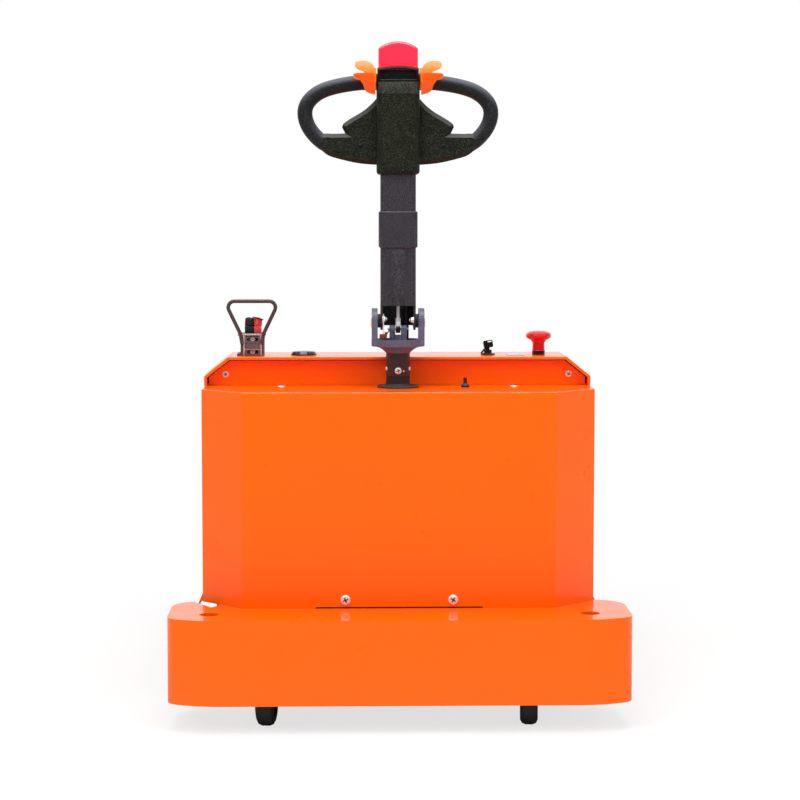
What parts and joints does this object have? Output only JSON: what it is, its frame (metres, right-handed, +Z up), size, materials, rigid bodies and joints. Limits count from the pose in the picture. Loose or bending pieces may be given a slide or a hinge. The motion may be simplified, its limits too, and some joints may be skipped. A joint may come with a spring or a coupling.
{
  "type": "pedestrian electric tow tractor",
  "caption": "Walk-behind electric tow tractor: sheet-metal body on a wide bumper, steering tiller with loop grips, and a rear tow jaw.",
  "frame": {"origin": "on the floor, at the middle of the machine's length and width", "axes": "+X to the machine's right as seen from the tiller end, +Y from the bumper towards the tow jaw, +Z up"},
  "size_m": [0.78, 1.2, 1.157],
  "materials": {
    "orange_paint": "semi-gloss",
    "chassis_paint": "satin",
    "cast_iron": "satin",
    "dark_paint": "satin",
    "polyurethane": "satin",
    "black_rubber": "matte",
    "soft_rubber": "matte",
    "cable_sheath": "satin",
    "steel": "satin",
    "black_coating": "textured",
    "black_moulding": "textured",
    "orange_moulding": "satin",
    "red_moulding": "gloss",
    "grey_moulding": "satin",
    "black_gloss": "gloss",
    "pale_plate": "satin"
  },
  "bodies": {
    "root": {"bumper": "orange_paint", "front_frame": "chassis_paint", "rear_frame": "chassis_paint", "battery_tray": "chassis_paint", "drive_hood": "orange_paint", "console_shell": "orange_paint", "console_panel": "orange_paint", "side_panel_left": "orange_paint", "side_panel_right": "orange_paint", "rear_panel": "orange_paint", "lid_hinges": "chassis_paint", "hinge_pins": "steel", "battery": "dark_paint", "slew_ring": "chassis_paint", "column_grommet": "soft_rubber", "caster_mounts": "chassis_paint", "rear_axle": "steel", "tow_jaw": "cast_iron", "power_connector": "grey_moulding", "connector_plug": "grey_moulding", "connector_handle": "steel", "battery_leads": "cable_sheath", "charge_gauge": "black_gloss", "key_switch": "black_gloss", "stop_button": "red_moulding", "label_plate": "pale_plate", "toggle_switch": "soft_rubber"},
    "steering": {"steering_column": "steel", "column_collar": "black_coating", "yoke": "black_coating", "yoke_pins": "steel", "cable_foot": "cable_sheath", "gearbox": "cast_iron", "drive_motor": "dark_paint"},
    "drive_wheel": {"drive_hub": "cast_iron", "drive_tyre": "polyurethane"},
    "tiller": {"tiller_arm": "black_coating", "gas_top_pin": "steel", "cable_run": "cable_sheath", "arm_sleeve": "black_coating", "head_housing": "black_moulding", "grip_left": "black_moulding", "grip_right": "black_moulding", "throttle_paddles": "orange_moulding", "belly_button": "red_moulding"},
    "gas_cylinder": {"gas_cylinder": "black_coating"},
    "gas_rod": {"gas_rod": "steel"},
    "battery_lid": {"battery_lid": "orange_paint"},
    "tow_pin": {"tow_pin": "steel"},
    "caster_fork_left": {"caster_fork_left": "steel"},
    "caster_wheel_left": {"caster_wheel_left": "black_rubber"},
    "rear_wheel_left": {"rear_hub_left": "cast_iron", "rear_tyre_left": "black_rubber"},
    "caster_fork_right": {"caster_fork_right": "steel"},
    "caster_wheel_right": {"caster_wheel_right": "black_rubber"},
    "rear_wheel_right": {"rear_hub_right": "cast_iron", "rear_tyre_right": "black_rubber"}
  },
  "joints": [
    {"name": "steering", "type": "hinge", "parent": "root", "child": "steering", "pos_m": [0, -0.372, 0.247], "axis": [0, 0, 1], "range_deg": [-90, 90]},
    {"name": "drive_wheel_roll", "type": "hinge", "parent": "steering", "child": "drive_wheel", "pos_m": [0, -0.372, 0.105], "axis": [1, 0, 0], "continuous": true},
    {"name": "tiller_tilt", "type": "hinge", "parent": "steering", "child": "tiller", "pos_m": [0, -0.372, 0.677], "axis": [1, 0, 0], "range_deg": [0, 75], "stiffness_Nm_per_rad": 25, "springref_deg": -40.11},
    {"name": "gas_spring_swing", "type": "hinge", "parent": "tiller", "child": "gas_cylinder", "pos_m": [0, -0.36, 0.857], "axis": [1, 0, 0], "range_deg": [-6, 6]},
    {"name": "gas_spring_slide", "type": "slide", "parent": "gas_cylinder", "child": "gas_rod", "axis": [0, -0.1025, -0.9947], "range_m": [-0.022, 0.002]},
    {"name": "lid_hinge", "type": "hinge", "parent": "root", "child": "battery_lid", "pos_m": [0, 0.4865, 0.548], "axis": [-1, 0, 0], "range_deg": [0, 100]},
    {"name": "tow_pin_lift", "type": "slide", "parent": "root", "child": "tow_pin", "axis": [0, 0, 1], "range_m": [0, 0.085]},
    {"name": "caster_swivel_left", "type": "hinge", "parent": "root", "child": "caster_fork_left", "pos_m": [-0.222, -0.495, 0.122], "axis": [0, 0, 1], "continuous": true},
    {"name": "caster_roll_left", "type": "hinge", "parent": "caster_fork_left", "child": "caster_wheel_left", "pos_m": [-0.22505, -0.52987, 0.05], "axis": [0.9962, -0.0872, 0], "continuous": true},
    {"name": "rear_wheel_roll_left", "type": "hinge", "parent": "root", "child": "rear_wheel_left", "pos_m": [-0.2875, 0.28, 0.125], "axis": [1, 0, 0], "continuous": true},
    {"name": "caster_swivel_right", "type": "hinge", "parent": "root", "child": "caster_fork_right", "pos_m": [0.222, -0.495, 0.122], "axis": [0, 0, 1], "continuous": true},
    {"name": "caster_roll_right", "type": "hinge", "parent": "caster_fork_right", "child": "caster_wheel_right", "pos_m": [0.21895, -0.52987, 0.05], "axis": [0.9962, -0.0872, 0], "continuous": true},
    {"name": "rear_wheel_roll_right", "type": "hinge", "parent": "root", "child": "rear_wheel_right", "pos_m": [0.2875, 0.28, 0.125], "axis": [1, 0, 0], "continuous": true}
  ],
  "couplings": [
    {"joint": "gas_spring_swing", "follows": "tiller_tilt", "ratio": -0.048},
    {"joint": "gas_spring_slide", "follows": "tiller_tilt", "m_per_rad": -0.0122}
  ]
}
